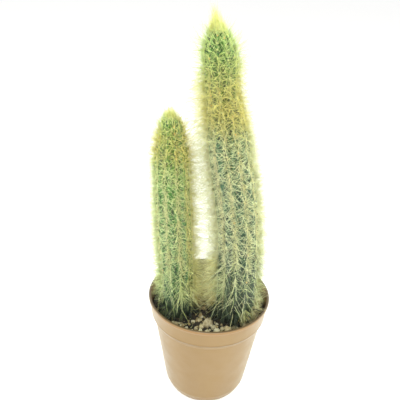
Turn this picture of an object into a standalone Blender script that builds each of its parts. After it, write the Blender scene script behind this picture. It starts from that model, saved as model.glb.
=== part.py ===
"""A potted golden snake cactus: two spiny ribbed stems standing in gritty soil in a plastic nursery pot.

Metres, +Z up. The origin is the centre of the pot's underside, and -Y is the front.
"""

import math
import random

import bmesh
import bpy
import numpy as np
from mathutils import Matrix, Vector, noise

MM = 0.001
GAP = 0.3 * MM

# The pot
RIM_RADIUS = 52.5 * MM
POT_HEIGHT = 97 * MM
LIP_HEIGHT = 2.6 * MM
LIP_WIDTH = 2.2 * MM
BAND_HEIGHT = 18 * MM
BAND_RADIUS_BELOW = 50.0 * MM
WALL_RADIUS_TOP = 47.6 * MM
WALL_RADIUS_LOW = 36.6 * MM
CHAMFER_HEIGHT = 8 * MM
FOOT_RADIUS = 33 * MM
FOOT_WIDTH = 7 * MM
RECESS = 1.2 * MM
WALL = 1.5 * MM
FLOOR = 1.8 * MM
POT_STEPS = 36
DRAIN_COUNT = 6
DRAIN_RADIUS = 3.4 * MM
DRAIN_CIRCLE = 20 * MM
DRAIN_SIDES = 8

# The potting mix
SOIL_LEVEL = 86.5 * MM
SOIL_BUMP = 1.2 * MM
SOIL_GAP = 0.5 * MM
SOIL_RINGS = 7
GRIT_COUNT = 32
GRIT_SIZE = (1.7 * MM, 2.9 * MM)
BIG_STONE = (-0.5 * MM, -26 * MM, 4.8 * MM)
STONE_RISE = 0.2
STONE_GAP = 0.8 * MM
FLAT_SOIL = 6 * MM
STUMP_DEPTH = 26 * MM
STUMP_RISE = 2 * MM
STUMP_SIDES = 20
GOLDEN_ANGLE = math.pi * (3 - math.sqrt(5))

# Both stems stand on this line across the pot, in front of its middle.
STEM_Y = -13 * MM

# Each outline runs from the soil to the apex as (height, x of the centre, radius over the ribs).
TALL = {
    "name": "tall_stem",
    "ribs": 11,
    "rib_depth": 3.0 * MM,
    "rings": 15,
    "areole_pitch": 13.2 * MM,
    "spine": 8.5 * MM,
    "tip": 333 * MM,
    "seed": 11,
    "colour": (0.20, 0.29, 0.13),
    "outline": (
        (86.5, 22.3, 15.2),
        (100, 22.1, 16.6),
        (150, 20.3, 16.5),
        (195, 15.2, 16.2),
        (230, 8.6, 15.6),
        (258, 4.3, 13.4),
        (284, 0.3, 11.9),
        (297, -0.6, 12.0),
        (308, -2.3, 10.7),
        (317, -3.2, 7.3),
        (322, -4.2, 0.0),
    ),
}
SHORT = {
    "name": "short_stem",
    "ribs": 10,
    "rib_depth": 2.5 * MM,
    "rings": 13,
    "areole_pitch": 14.2 * MM,
    "spine": 7.6 * MM,
    "tip": 269 * MM,
    "seed": 23,
    "colour": (0.20, 0.31, 0.09),
    "outline": (
        (86.5, -26.2, 11.6),
        (100, -26.4, 12.6),
        (140, -28.7, 13.4),
        (170, -30.9, 13.8),
        (203, -32.3, 13.1),
        (228, -33.2, 12.4),
        (243, -33.4, 9.9),
        (252, -33.8, 8.0),
        (257.5, -34.2, 5.8),
        (260.5, -34.6, 0.0),
    ),
}

# Points worked out between two rows of an outline
CURVE_STEPS = 24

# One rib's section: its crest, then the two edges of the furrow beside it, as fractions of its width
RIB_PHASES = (0.0, 0.34, 0.66)

# The ribs rise to their full depth over this height above the soil, and sink again on a thinner stem.
RIB_RUN_IN = 12 * MM
FULL_RIB_RADIUS = 9 * MM

# An areole's width at its spines' roots, and how deep it is rooted in its rib
AREOLE_RADIUS = 1.05 * MM
AREOLE_RISE = 0.35 * MM
AREOLE_CROWN = 0.9 * MM
ROOT_DEPTH = 2.2 * MM

# Above this place on a stem its spines lean up more and more.
LEAN_START = 0.78
TOP_LEAN = 1.6

# Where a stem is thinner than this, every second rib is bare.
CROWDED_RADIUS = 9 * MM

# The sheaf on a stem's tip, and the rows low on a stem whose spines are old, long and loose
TUFT_SPINES = 9
TUFT_ROOT = 3 * MM
TUFT_WIDTH = 1.2 * MM
OLD_ROWS = (0.055, 0.11)
OLD_SPINE = (12 * MM, 17 * MM)
OLD_WIDTH = 0.9 * MM

# How far a spine's tip keeps from the soil, the pot and the other stem's side
TIP_OVER_SOIL = 4.2 * MM
TIP_INSIDE_RIM = 4.6 * MM
TIP_FROM_MIDDLE = 0.6 * MM


def clear_scene():
    for obj in list(bpy.data.objects):
        bpy.data.objects.remove(obj, do_unlink=True)
    for collection in list(bpy.data.collections):
        bpy.data.collections.remove(collection)


def new_collection(name, helper=False):
    collection = bpy.data.collections.new(name)
    bpy.context.scene.collection.children.link(collection)
    collection.hide_render = helper
    return collection


def new_object(name, mesh, collection, helper=False):
    obj = bpy.data.objects.new(name, mesh)
    collection.objects.link(obj)
    if helper:
        obj.hide_render = True
        obj.display_type = "WIRE"
    return obj


def mesh_from(bm, name):
    """Turns a bmesh into a mesh whose faces point out."""
    bmesh.ops.recalc_face_normals(bm, faces=bm.faces)
    if bm.calc_volume(signed=True) < 0:
        bmesh.ops.reverse_faces(bm, faces=bm.faces)
    mesh = bpy.data.meshes.new(name)
    bm.to_mesh(mesh)
    bm.free()
    return mesh


def finish_surface(mesh, name, colour, roughness, sharp_degrees):
    material = bpy.data.materials.new(name)
    material.use_nodes = True
    shader = material.node_tree.nodes["Principled BSDF"]
    shader.inputs["Base Color"].default_value = (*colour, 1)
    shader.inputs["Roughness"].default_value = roughness
    shader.inputs["Metallic"].default_value = 0
    mesh.materials.clear()
    mesh.materials.append(material)
    mesh.shade_smooth()
    mesh.set_sharp_from_angle(angle=math.radians(sharp_degrees))


def apply_modifiers(obj):
    """Replaces the object's mesh with the one that its modifiers make."""
    graph = bpy.context.evaluated_depsgraph_get()
    mesh = bpy.data.meshes.new_from_object(obj.evaluated_get(graph))
    obj.modifiers.clear()
    obj.data = mesh


def keep_outer_skin(mesh):
    """Fills any hollow that joining sealed and drops any loose scrap, so that one closed body is left."""
    bm = bmesh.new()
    bm.from_mesh(mesh)
    unseen = set(bm.faces)
    islands = []
    while unseen:
        island = set()
        edge = [unseen.pop()]
        while edge:
            face = edge.pop()
            island.add(face)
            near = {other for side in face.edges for other in side.link_faces} & unseen
            unseen -= near
            edge.extend(near)
        islands.append(island)
    largest = max(islands, key=len)
    spare = [face for island in islands if island is not largest for face in island]
    bmesh.ops.delete(bm, geom=spare, context="FACES")
    bm.to_mesh(mesh)
    bm.free()


def turned(name, profile, steps, collection):
    """An outline of (radius, height) points, turned round the Z axis."""
    bm = bmesh.new()
    points = [bm.verts.new((radius, 0, height)) for radius, height in profile]
    for upper, lower in zip(points, points[1:]):
        bm.edges.new((upper, lower))
    mesh = bpy.data.meshes.new(name)
    bm.to_mesh(mesh)
    bm.free()
    obj = new_object(name, mesh, collection)
    screw = obj.modifiers.new("turned", "SCREW")
    screw.axis = "Z"
    screw.steps = steps
    screw.render_steps = steps
    screw.use_merge_vertices = True
    screw.merge_threshold = 0.00001
    return obj


def boolean(obj, operation, collection, solver):
    modifier = obj.modifiers.new(operation.lower(), "BOOLEAN")
    modifier.operation = operation
    modifier.operand_type = "COLLECTION"
    modifier.collection = collection
    modifier.solver = solver


def cylinder(name, radius, bottom, top, centre, sides, collection):
    """A closed upright cylinder that only cuts."""
    bm = bmesh.new()
    place = Matrix.Translation((*centre, (bottom + top) / 2))
    bmesh.ops.create_cone(
        bm,
        cap_ends=True,
        segments=sides,
        radius1=radius,
        radius2=radius,
        depth=top - bottom,
        matrix=place,
    )
    return new_object(name, mesh_from(bm, name), collection, helper=True)


def inner_wall():
    """The inside of the pot, from the lip down to the corner of its floor, as (radius, height)."""
    ledge = POT_HEIGHT - BAND_HEIGHT
    return [
        (RIM_RADIUS - LIP_WIDTH, POT_HEIGHT - 1.0 * MM),
        (BAND_RADIUS_BELOW - WALL, ledge + 1.2 * MM),
        (WALL_RADIUS_TOP - WALL, ledge - 1.4 * MM),
        (WALL_RADIUS_LOW - WALL, CHAMFER_HEIGHT),
        (FOOT_RADIUS - WALL, RECESS + FLOOR),
    ]


def make_pot(collection, cutters):
    ledge = POT_HEIGHT - BAND_HEIGHT
    foot_inside = FOOT_RADIUS - FOOT_WIDTH
    outer = [
        (RIM_RADIUS - LIP_WIDTH + 0.5 * MM, POT_HEIGHT - 0.25 * MM),
        (RIM_RADIUS - LIP_WIDTH / 2, POT_HEIGHT),
        (RIM_RADIUS - 0.4 * MM, POT_HEIGHT - 0.3 * MM),
        (RIM_RADIUS, POT_HEIGHT - 1.1 * MM),
        (RIM_RADIUS - 0.2 * MM, POT_HEIGHT - LIP_HEIGHT),
        (RIM_RADIUS - 0.9 * MM, POT_HEIGHT - LIP_HEIGHT - 0.6 * MM),
        (BAND_RADIUS_BELOW, ledge + 0.9 * MM),
        (BAND_RADIUS_BELOW - 0.5 * MM, ledge + 0.2 * MM),
        (WALL_RADIUS_TOP + 0.3 * MM, ledge),
        (WALL_RADIUS_TOP, ledge - 0.8 * MM),
        (WALL_RADIUS_LOW, CHAMFER_HEIGHT),
        (FOOT_RADIUS + 1.4 * MM, 2.6 * MM),
        (FOOT_RADIUS, 0.6 * MM),
        (FOOT_RADIUS - 0.8 * MM, 0),
        (foot_inside, 0),
        (foot_inside - 1.0 * MM, RECESS),
        (0, RECESS),
    ]
    inside = [(0, RECESS + FLOOR), *reversed(inner_wall())]
    pot = turned("pot", [*outer, *inside, outer[0]], POT_STEPS, collection)
    for index in range(DRAIN_COUNT):
        x, y, _ = outward(math.tau * (index + 0.5) / DRAIN_COUNT) * DRAIN_CIRCLE
        cylinder(f"drain_{index}", DRAIN_RADIUS, -FLOOR, 3 * FLOOR, (x, y), DRAIN_SIDES, cutters)
    boolean(pot, "DIFFERENCE", cutters, "EXACT")
    apply_modifiers(pot)
    finish_surface(pot.data, "terracotta_plastic", (0.42, 0.22, 0.11), 0.45, 35)


def from_foot(stem, x, y):
    """How far a place on the soil is from the side of the stem's foot."""
    return math.hypot(x - foot_x(stem), y - STEM_Y) - stump_radius(stem)


def soil_height(x, y):
    """The soil's surface: lumps that die out round the stems, where it lies flat."""
    lumps = noise.noise(Vector((x, y, 0)) * 90) + 0.6 * noise.noise(Vector((x, y, 0.1)) * 210)
    nearest = min(from_foot(stem, x, y) for stem in (TALL, SHORT))
    flat = min(1.0, max(0.0, nearest / FLAT_SOIL))
    return SOIL_LEVEL + SOIL_BUMP * flat * lumps


def make_stone(place, size, rng, index, collection):
    """A small angular stone, sunk to its middle in the soil."""
    bm = bmesh.new()
    bmesh.ops.create_icosphere(bm, subdivisions=1, radius=1)
    stretch = Matrix.Diagonal((size, size * rng.uniform(0.7, 0.95), size * rng.uniform(0.65, 0.85)))
    turn = Matrix.Rotation(rng.uniform(0, math.tau), 3, "Z")
    turn = turn @ Matrix.Rotation(rng.uniform(-0.5, 0.5), 3, "X")
    for vert in bm.verts:
        rough = vert.co * (1 + rng.uniform(-0.16, 0.16))
        vert.co = turn @ stretch @ rough + place
    new_object(f"stone_{index}", mesh_from(bm, "stone"), collection, helper=True)


def make_stones(collection):
    """One big stone at the front and grit spread evenly over the soil, clear of the stems and the wall."""
    rng = random.Random(5)
    big_x, big_y, big_size = BIG_STONE
    make_stone(Vector((big_x, big_y, SOIL_LEVEL + big_size * STONE_RISE)), big_size, rng, "big", collection)
    inner, outer = 12 * MM, WALL_RADIUS_TOP - GRIT_SIZE[1] - 1.5 * MM
    for index in range(GRIT_COUNT):
        reach = math.sqrt(inner**2 + (outer**2 - inner**2) * (index + 0.5) / GRIT_COUNT)
        x, y, _ = outward(index * GOLDEN_ANGLE) * reach
        size = rng.uniform(*GRIT_SIZE)
        from_big = math.hypot(x - big_x, y - big_y) - big_size
        from_stems = min(from_foot(stem, x, y) for stem in (TALL, SHORT))
        if min(from_big, from_stems) > size + STONE_GAP:
            make_stone(Vector((x, y, soil_height(x, y) + size * STONE_RISE)), size, rng, index, collection)


def make_potting_mix(collection, stones, cutters):
    top = [(0, SOIL_LEVEL)]
    outside = [(radius - SOIL_GAP, height) for radius, height in inner_wall()]
    edge = outside[0][0] - (POT_HEIGHT - SOIL_LEVEL) * 0.13
    for ring in range(1, SOIL_RINGS):
        top.append((edge * ring / SOIL_RINGS, SOIL_LEVEL))
    corner = (outside[-1][0], outside[-1][1] + GAP)
    side = [(edge, SOIL_LEVEL), *outside[1:-1], corner, (0, corner[1])]
    mix = turned("potting_mix", [*top, *side], POT_STEPS, collection)
    apply_modifiers(mix)
    for vert in mix.data.vertices:
        if abs(vert.co.z - SOIL_LEVEL) < 0.01 * MM:
            vert.co.z = soil_height(vert.co.x, vert.co.y)
    for stem in (TALL, SHORT):
        cylinder(
            "hole_" + stem["name"],
            stump_radius(stem) + GAP,
            SOIL_LEVEL - STUMP_DEPTH - GAP,
            POT_HEIGHT,
            (foot_x(stem), STEM_Y),
            STUMP_SIDES,
            cutters,
        )
    make_stones(stones)
    boolean(mix, "UNION", stones, "MANIFOLD")
    boolean(mix, "DIFFERENCE", cutters, "EXACT")
    apply_modifiers(mix)
    keep_outer_skin(mix.data)
    empty(stones)
    finish_surface(mix.data, "gritty_soil", (0.09, 0.07, 0.05), 0.95, 40)


def empty(collection):
    for obj in list(collection.objects):
        bpy.data.objects.remove(obj, do_unlink=True)


def foot_x(stem):
    return stem["outline"][0][1] * MM


def stump_radius(stem):
    """The plain round foot that stands in the soil is as wide as the furrows between the ribs."""
    return stem["outline"][0][2] * MM - 1.0 * MM


def side_curve(stem):
    """The stem's outline as a fine smooth row of (height, x, radius), and how far up its side each lies."""
    knots = np.array(stem["outline"]) * MM
    before = 2 * knots[0] - knots[1]
    beyond = knots[-2] * (1, 1, -1)
    knots = np.vstack([before, knots, beyond])
    curve = []
    for a, b, c, d in zip(knots, knots[1:], knots[2:], knots[3:]):
        for t in np.linspace(0, 1, CURVE_STEPS, endpoint=False):
            bend = (2 * a - 5 * b + 4 * c - d) * t**2 + (3 * b - a - 3 * c + d) * t**3
            curve.append(b + ((c - a) * t + bend) / 2)
    curve = np.array([*curve, knots[-2]])
    run = np.concatenate([[0], np.cumsum(np.linalg.norm(np.diff(curve, axis=0), axis=1))])
    return curve, run


def outline_at(stem, places):
    """The stem's (height, x, radius) at places from 0, the soil, to 1, the apex, evenly along its side."""
    curve, run = side_curve(stem)
    along = np.array(places) * run[-1]
    return np.stack([np.interp(along, run, column) for column in curve.T], -1)


def rib_section(stem, radius, phase, fade):
    """The radius at a phase of 0 on a rib's crest and 0.5 in the furrow beside it."""
    depth = stem["rib_depth"] * fade * min(1.0, radius / FULL_RIB_RADIUS)
    return radius - depth * (0.5 - 0.5 * math.cos(math.tau * phase)) ** 1.3


def outward(angle):
    return Vector((math.cos(angle), math.sin(angle), 0))


def make_column(stem, collection):
    """The bare ribbed stem: rings of points lofted from its buried foot to its apex."""
    bm = bmesh.new()
    rows = outline_at(stem, 1 - np.linspace(1, 0, stem["rings"] + 1) ** 1.3)
    phases = [rib + phase for rib in range(stem["ribs"]) for phase in RIB_PHASES]
    foot = stump_radius(stem)
    rings = []
    for height in (SOIL_LEVEL - STUMP_DEPTH, SOIL_LEVEL + STUMP_RISE):
        rings.append((height, foot_x(stem), [foot] * len(phases)))
    for height, x, radius in rows[1:-1]:
        fade = min(1.0, (height - SOIL_LEVEL) / RIB_RUN_IN)
        rings.append((height, x, [rib_section(stem, radius, phase, fade) for phase in phases]))
    loops = []
    for height, x, radii in rings:
        centre = Vector((x, STEM_Y, height))
        turns = [math.tau * phase / stem["ribs"] for phase in phases]
        loops.append([bm.verts.new(centre + outward(turn) * radius) for turn, radius in zip(turns, radii)])
    count = len(phases)
    for lower, upper in zip(loops, loops[1:]):
        for k in range(count):
            after = (k + 1) % count
            bm.faces.new((lower[k], lower[after], upper[after], upper[k]))
    bm.faces.new(loops[0])
    apex = bm.verts.new((rows[-1][1], STEM_Y, rows[-1][0]))
    for k in range(count):
        bm.faces.new((loops[-1][k], loops[-1][(k + 1) % count], apex))
    return new_object(stem["name"], mesh_from(bm, stem["name"]), collection)


def rib_crest(stem, place, rib):
    """A point on a rib's crest, the way out of the stem there, the way up the rib, and the stem's radius."""
    here, ahead = outline_at(stem, [place, min(1.0, place + 0.004)])
    around = outward(math.tau * rib / stem["ribs"])
    point = Vector((here[1], STEM_Y, here[0])) + around * here[2]
    further = Vector((ahead[1], STEM_Y, ahead[0])) + around * ahead[2]
    up = (further - point).normalized()
    out = around.cross(Vector((0, 0, 1))).cross(up).normalized()
    if out.dot(around) < 0:
        out = -out
    return point, out, up, here[2]


def side_of_gap(stem, height):
    """The x of the stem's side that faces the other stem, or None above the stem's top."""
    heights = np.array([row[0] for row in stem["outline"]]) * MM
    if height > heights[-1]:
        return None
    centre = np.interp(height, heights, [row[1] * MM for row in stem["outline"]])
    radius = np.interp(height, heights, [row[2] * MM for row in stem["outline"]])
    return centre - radius if stem is TALL else centre + radius


def is_clear(stem, tip):
    """Whether a spine's tip keeps off the soil, the pot's wall and the other stem's half of the space."""
    from_axis = math.hypot(tip.x, tip.y)
    if tip.z < SOIL_LEVEL + TIP_OVER_SOIL or tip.z > stem["tip"] or from_axis > RIM_RADIUS - 0.1 * MM:
        return False
    if tip.z < POT_HEIGHT + 1.5 * MM and from_axis > RIM_RADIUS - TIP_INSIDE_RIM:
        return False
    left = side_of_gap(SHORT, tip.z)
    right = side_of_gap(TALL, tip.z)
    if left is None or right is None:
        return True
    middle = (left + right) / 2
    if stem is TALL:
        return tip.x > middle + TIP_FROM_MIDDLE
    return tip.x < middle - TIP_FROM_MIDDLE


def clear_tip(stem, root, way, length):
    """The tip of a spine that starts at root, made shorter until it is clear."""
    for shorter in (1.0, 0.85, 0.7, 0.55, 0.4):
        tip = root + way * length * shorter
        if is_clear(stem, tip):
            return tip
    return None


def make_star(stem, crest, rng, collection):
    """One areole: a small three-sided root sunk in the rib, its six faces each drawn out into a spine."""
    point, out, up, lean = crest
    across = up.cross(out)
    bm = bmesh.new()
    bmesh.ops.create_cone(bm, cap_ends=True, segments=3, radius1=1, radius2=0, depth=1)
    turn = rng.uniform(0, math.tau)
    for index, vert in enumerate(sorted(bm.verts, key=lambda vert: vert.co.z)):
        angle = turn + math.tau * index / 3
        if index < 3:
            flat = up * math.sin(angle) + across * math.cos(angle)
            vert.co = point + out * AREOLE_RISE + flat * AREOLE_RADIUS
        else:
            vert.co = point - out * ROOT_DEPTH
    crown = next(face for face in bm.faces if all((vert.co - point).dot(out) > 0 for vert in face.verts))
    sides = [face for face in bm.faces if face is not crown]
    drawn = [(vert, 0.25) for vert in bmesh.ops.poke(bm, faces=sides)["verts"]]
    raised = bmesh.ops.poke(bm, faces=[crown])
    raised["verts"][0].co = point + out * AREOLE_CROWN
    drawn += [(vert, 0.95) for vert in bmesh.ops.poke(bm, faces=raised["faces"])["verts"]]
    for vert, rise in drawn:
        away = vert.co - point
        flat = (away - out * away.dot(out)).normalized()
        way = flat * rng.uniform(0.6, 1.0) + out * (rise + rng.uniform(0, 0.4)) + up * lean
        length = stem["spine"] * rng.uniform(0.8, 1.15)
        tip = clear_tip(stem, point + flat * AREOLE_RISE, way.normalized(), length)
        if tip is not None:
            vert.co = tip
    new_object("areole", mesh_from(bm, "areole"), collection, helper=True)


def make_needle(root, tip, width, collection):
    """One three-sided spine from root to tip."""
    way = tip - root
    bm = bmesh.new()
    bmesh.ops.create_cone(bm, cap_ends=True, segments=3, radius1=width / 2, radius2=0, depth=way.length)
    turn = way.to_track_quat("Z", "Y").to_matrix().to_4x4()
    bmesh.ops.transform(bm, matrix=Matrix.Translation((root + tip) / 2) @ turn, verts=bm.verts)
    new_object("spine", mesh_from(bm, "spine"), collection, helper=True)


def grow_areoles(stem, rng, collection):
    """Areoles along every rib, each rib's row set half a step from its neighbour's."""
    steps = round(side_curve(stem)[1][-1] / stem["areole_pitch"])
    for rib in range(stem["ribs"]):
        for step in range(1, steps):
            place = (step + 0.5 * (rib % 2) + rng.uniform(-0.12, 0.12)) / steps
            point, out, up, radius = rib_crest(stem, place, rib)
            crowded = radius < CROWDED_RADIUS and rib % 2
            lean = TOP_LEAN * max(0.0, (place - LEAN_START) / (1 - LEAN_START))
            if place < 0.98 and point.z > SOIL_LEVEL + 6 * MM and not crowded:
                make_star(stem, (point, out, up, lean), rng, collection)


def grow_tuft(stem, rng, collection):
    """The sheaf of upright young spines on the stem's tip, its middle one up to the stem's full height."""
    height, x, _ = outline_at(stem, [1.0])[0]
    root = Vector((x, STEM_Y, height - TUFT_ROOT))
    for index in range(TUFT_SPINES):
        spread = rng.uniform(0.25, 0.55) if index else 0
        share = rng.uniform(0.72, 0.97) if index else 1
        way = outward(index * GOLDEN_ANGLE) * spread + Vector((0, 0, 1))
        make_needle(root, root + way * (stem["tip"] - root.z) * share, TUFT_WIDTH, collection)


def grow_old_spines(stem, rng, collection):
    """The long loose spines low on the stem, drooping or standing out just over the soil."""
    for rib in range(stem["ribs"]):
        for row in OLD_ROWS:
            point, out, up, _ = rib_crest(stem, row + rng.uniform(-0.015, 0.015), rib)
            across = up.cross(out)
            way = out * rng.uniform(0.5, 0.9) + across * rng.uniform(-0.9, 0.9) - up * rng.uniform(0.1, 0.8)
            tip = clear_tip(stem, point, way.normalized(), rng.uniform(*OLD_SPINE))
            if tip is not None:
                make_needle(point - out * OLD_WIDTH, tip, OLD_WIDTH, collection)


def make_stem(stem, collection, spines):
    rng = random.Random(stem["seed"])
    column = make_column(stem, collection)
    grow_areoles(stem, rng, spines)
    grow_tuft(stem, rng, spines)
    grow_old_spines(stem, rng, spines)
    boolean(column, "UNION", spines, "MANIFOLD")
    apply_modifiers(column)
    keep_outer_skin(column.data)
    empty(spines)
    finish_surface(column.data, stem["name"] + "_skin", stem["colour"], 0.6, 50)


def main():
    clear_scene()
    cactus = new_collection("potted_golden_snake_cactus")
    drains = new_collection("drain_cutters", helper=True)
    holes = new_collection("stem_hole_cutters", helper=True)
    growth = new_collection("spines_and_stones", helper=True)
    make_pot(cactus, drains)
    make_potting_mix(cactus, growth, holes)
    make_stem(TALL, cactus, growth)
    make_stem(SHORT, cactus, growth)


main()
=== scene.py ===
import math
import random
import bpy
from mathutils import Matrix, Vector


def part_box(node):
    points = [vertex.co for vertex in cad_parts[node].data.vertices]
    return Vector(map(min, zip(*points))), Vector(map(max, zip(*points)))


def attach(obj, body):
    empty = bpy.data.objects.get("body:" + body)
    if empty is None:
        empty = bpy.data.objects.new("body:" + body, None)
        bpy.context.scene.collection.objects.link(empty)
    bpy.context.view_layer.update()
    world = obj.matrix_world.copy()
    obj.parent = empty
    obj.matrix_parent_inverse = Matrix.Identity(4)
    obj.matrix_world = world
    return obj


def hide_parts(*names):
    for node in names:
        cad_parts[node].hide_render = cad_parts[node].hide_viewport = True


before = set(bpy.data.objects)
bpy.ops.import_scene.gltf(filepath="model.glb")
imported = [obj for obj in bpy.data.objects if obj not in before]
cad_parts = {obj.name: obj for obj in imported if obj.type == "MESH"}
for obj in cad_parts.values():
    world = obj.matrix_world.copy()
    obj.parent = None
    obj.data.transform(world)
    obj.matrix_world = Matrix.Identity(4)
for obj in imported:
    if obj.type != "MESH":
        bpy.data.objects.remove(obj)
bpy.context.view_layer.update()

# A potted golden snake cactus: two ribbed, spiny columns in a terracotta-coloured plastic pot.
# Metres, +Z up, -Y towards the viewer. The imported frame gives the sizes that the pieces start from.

from types import SimpleNamespace

import bmesh
import bpy
import numpy as np
from mathutils import Matrix, Vector, noise

mm = 0.001
bodyName = "root"
potLow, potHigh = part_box("pot")
rimRadius = (potHigh.x - potLow.x) / 2
potHeight = potHigh.z
soilLevel = potHeight - 10.5 * mm
stemLine = -13 * mm  # both stems stand on this line across the pot, in front of its middle
goldenAngle = math.pi * (3 - math.sqrt(5))


# Node trees: sums written with an output add the nodes that work them out

def spaced(key):
    # holeRadius as Blender labels it, "Hole Radius"
    words = "".join(" " + letter if letter.isupper() or letter.isdigit() else letter for letter in key)
    return words[:1].upper() + words[1:]


class Output:
    def __init__(self, graph, socket):
        self.graph, self.socket = graph, socket
        self.isVector = socket.type in ("VECTOR", "RGBA")

    def then(self, operation, *others, clamp=False):
        if not self.isVector:
            return self.graph.maths(operation, self, *others, clamp=clamp)
        inputs = {"Scale" if operation == "SCALE" and at else at: value for at, value in enumerate((self, *others))}
        output = "Value" if operation in ("LENGTH", "DOT_PRODUCT", "DISTANCE") else "Vector"
        return self.graph.add("ShaderNodeVectorMath", inputs, output, operation=operation)

    def __add__(self, other):
        return self.then("ADD", other)

    def __sub__(self, other):
        return self.then("SUBTRACT", other)

    def __rsub__(self, other):
        return self.graph.maths("SUBTRACT", other, self)

    def __mul__(self, other):
        return self.then("SCALE" if self.isVector else "MULTIPLY", other)

    def __pow__(self, other):
        return self.then("POWER", other)

    def share(self, whole):
        return self.then("DIVIDE", whole, clamp=True)

    def spread(self, low, high, toLow=0.0, toHigh=1.0):
        # runs from toLow to toHigh while this output runs from low to high, and stays level outside
        return self.graph.add("ShaderNodeMapRange", {0: self, 1: low, 2: high, 3: toLow, 4: toHigh}, clamp=True)


class Graph:
    def __init__(self, tree):
        self.tree = tree

    def add(self, kind, inputs, output=0, **settings):
        node = self.tree.nodes.new(kind)
        for key, setting in settings.items():
            setattr(node, key, setting)
        for key, value in inputs.items():
            if isinstance(value, Output):
                self.tree.links.new(value.socket, node.inputs[key])
            else:
                node.inputs[key].default_value = value
        return Output(self, node.outputs[output])

    def maths(self, operation, *values, clamp=False):
        return self.add("ShaderNodeMath", dict(enumerate(values)), operation=operation, use_clamp=clamp)

    def join(self, **parts):
        return self.add("ShaderNodeCombineXYZ", {axis.upper(): value for axis, value in parts.items()})

    def split(self, vector):
        node = self.add("ShaderNodeSeparateXYZ", {0: vector}).socket.node
        return [Output(self, socket) for socket in node.outputs]


class Growth(Graph):
    # a Geometry Nodes tree, with its named inputs in given
    def __init__(self, name, floats, ints, material, vectors=""):
        super().__init__(bpy.data.node_groups.new(name, "GeometryNodeTree"))
        keys, sockets = [], self.tree.interface
        kinds = {"Geometry": "geometry", "Float": floats, "Int": ints, "Vector": vectors, "Material": material}
        for kind, labels in kinds.items():
            for key in labels.split():
                sockets.new_socket(spaced(key), in_out="INPUT", socket_type="NodeSocket" + kind)
                keys.append(key)
        sockets.new_socket("Geometry", in_out="OUTPUT", socket_type="NodeSocketGeometry")
        start = zip(keys, self.tree.nodes.new("NodeGroupInput").outputs)
        self.given = SimpleNamespace(**{key: Output(self, socket) for key, socket in start})
        self.end = self.tree.nodes.new("NodeGroupOutput")
        self.here = self.geo("InputPosition")

    def geo(self, kind, output=0, **inputs):
        return self.add("GeometryNode" + kind, {spaced(key): value for key, value in inputs.items()}, output)

    def named(self, label, kind="FLOAT"):
        return self.add("GeometryNodeInputNamedAttribute", {"Name": label}, data_type=kind)

    def store(self, geometry, **facts):
        for label, value in facts.items():
            inputs = {"Geometry": geometry, "Name": label, "Value": value}
            kind = "FLOAT_VECTOR" if value.isVector else "FLOAT"
            geometry = self.add("GeometryNodeStoreNamedAttribute", inputs, data_type=kind)
        return geometry

    def draw(self, low, high, step):
        # a random number or vector for each point, from the tree's seed and the draw's own step
        seed = self.given.seed + step
        if isinstance(low, tuple):
            return self.add("FunctionNodeRandomValue", {0: low, 1: high, 8: seed}, data_type="FLOAT_VECTOR")
        return self.add("FunctionNodeRandomValue", {2: low, 3: high, 8: seed}, 1)

    def pointing(self, way):
        return self.add("FunctionNodeAlignRotationToVector", {"Vector": way}, axis="Z")

    def turned(self, low, high, step):
        return self.add("FunctionNodeEulerToRotation", {0: self.draw(low, high, step)})

    def lumps(self, scale, detail, reach):
        cloud = self.add("ShaderNodeTexNoise", {"Vector": self.here, "Scale": scale, "Detail": detail}, "Color")
        return (cloud - (0.5, 0.5, 0.5)) * reach

    def needle(self, segments, radiusTop):
        # a spine of length and thickness 1, which knows how far along it each point lies
        cone = self.geo("MeshCone", vertices=3, sideSegments=segments, radiusTop=radiusTop, radiusBottom=0.5, depth=1.0)
        return self.store(cone, along=self.split(self.here)[2])

    def copies(self, points, instance, **placing):
        copies = self.geo("InstanceOnPoints", points=points, instance=instance, **placing)
        return self.geo("RealizeInstances", geometry=copies)

    def finish(self, geometry, material, *dropped):
        # real geometry, the material, and none of the attributes that only the tree needed
        geometry = self.geo("RealizeInstances", geometry=geometry)
        for label in dropped:
            geometry = self.geo("RemoveAttribute", geometry=geometry, name=label)
        finished = self.geo("SetMaterial", geometry=geometry, material=material)
        self.tree.links.new(finished.socket, self.end.inputs[0])
        return self.tree


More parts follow.
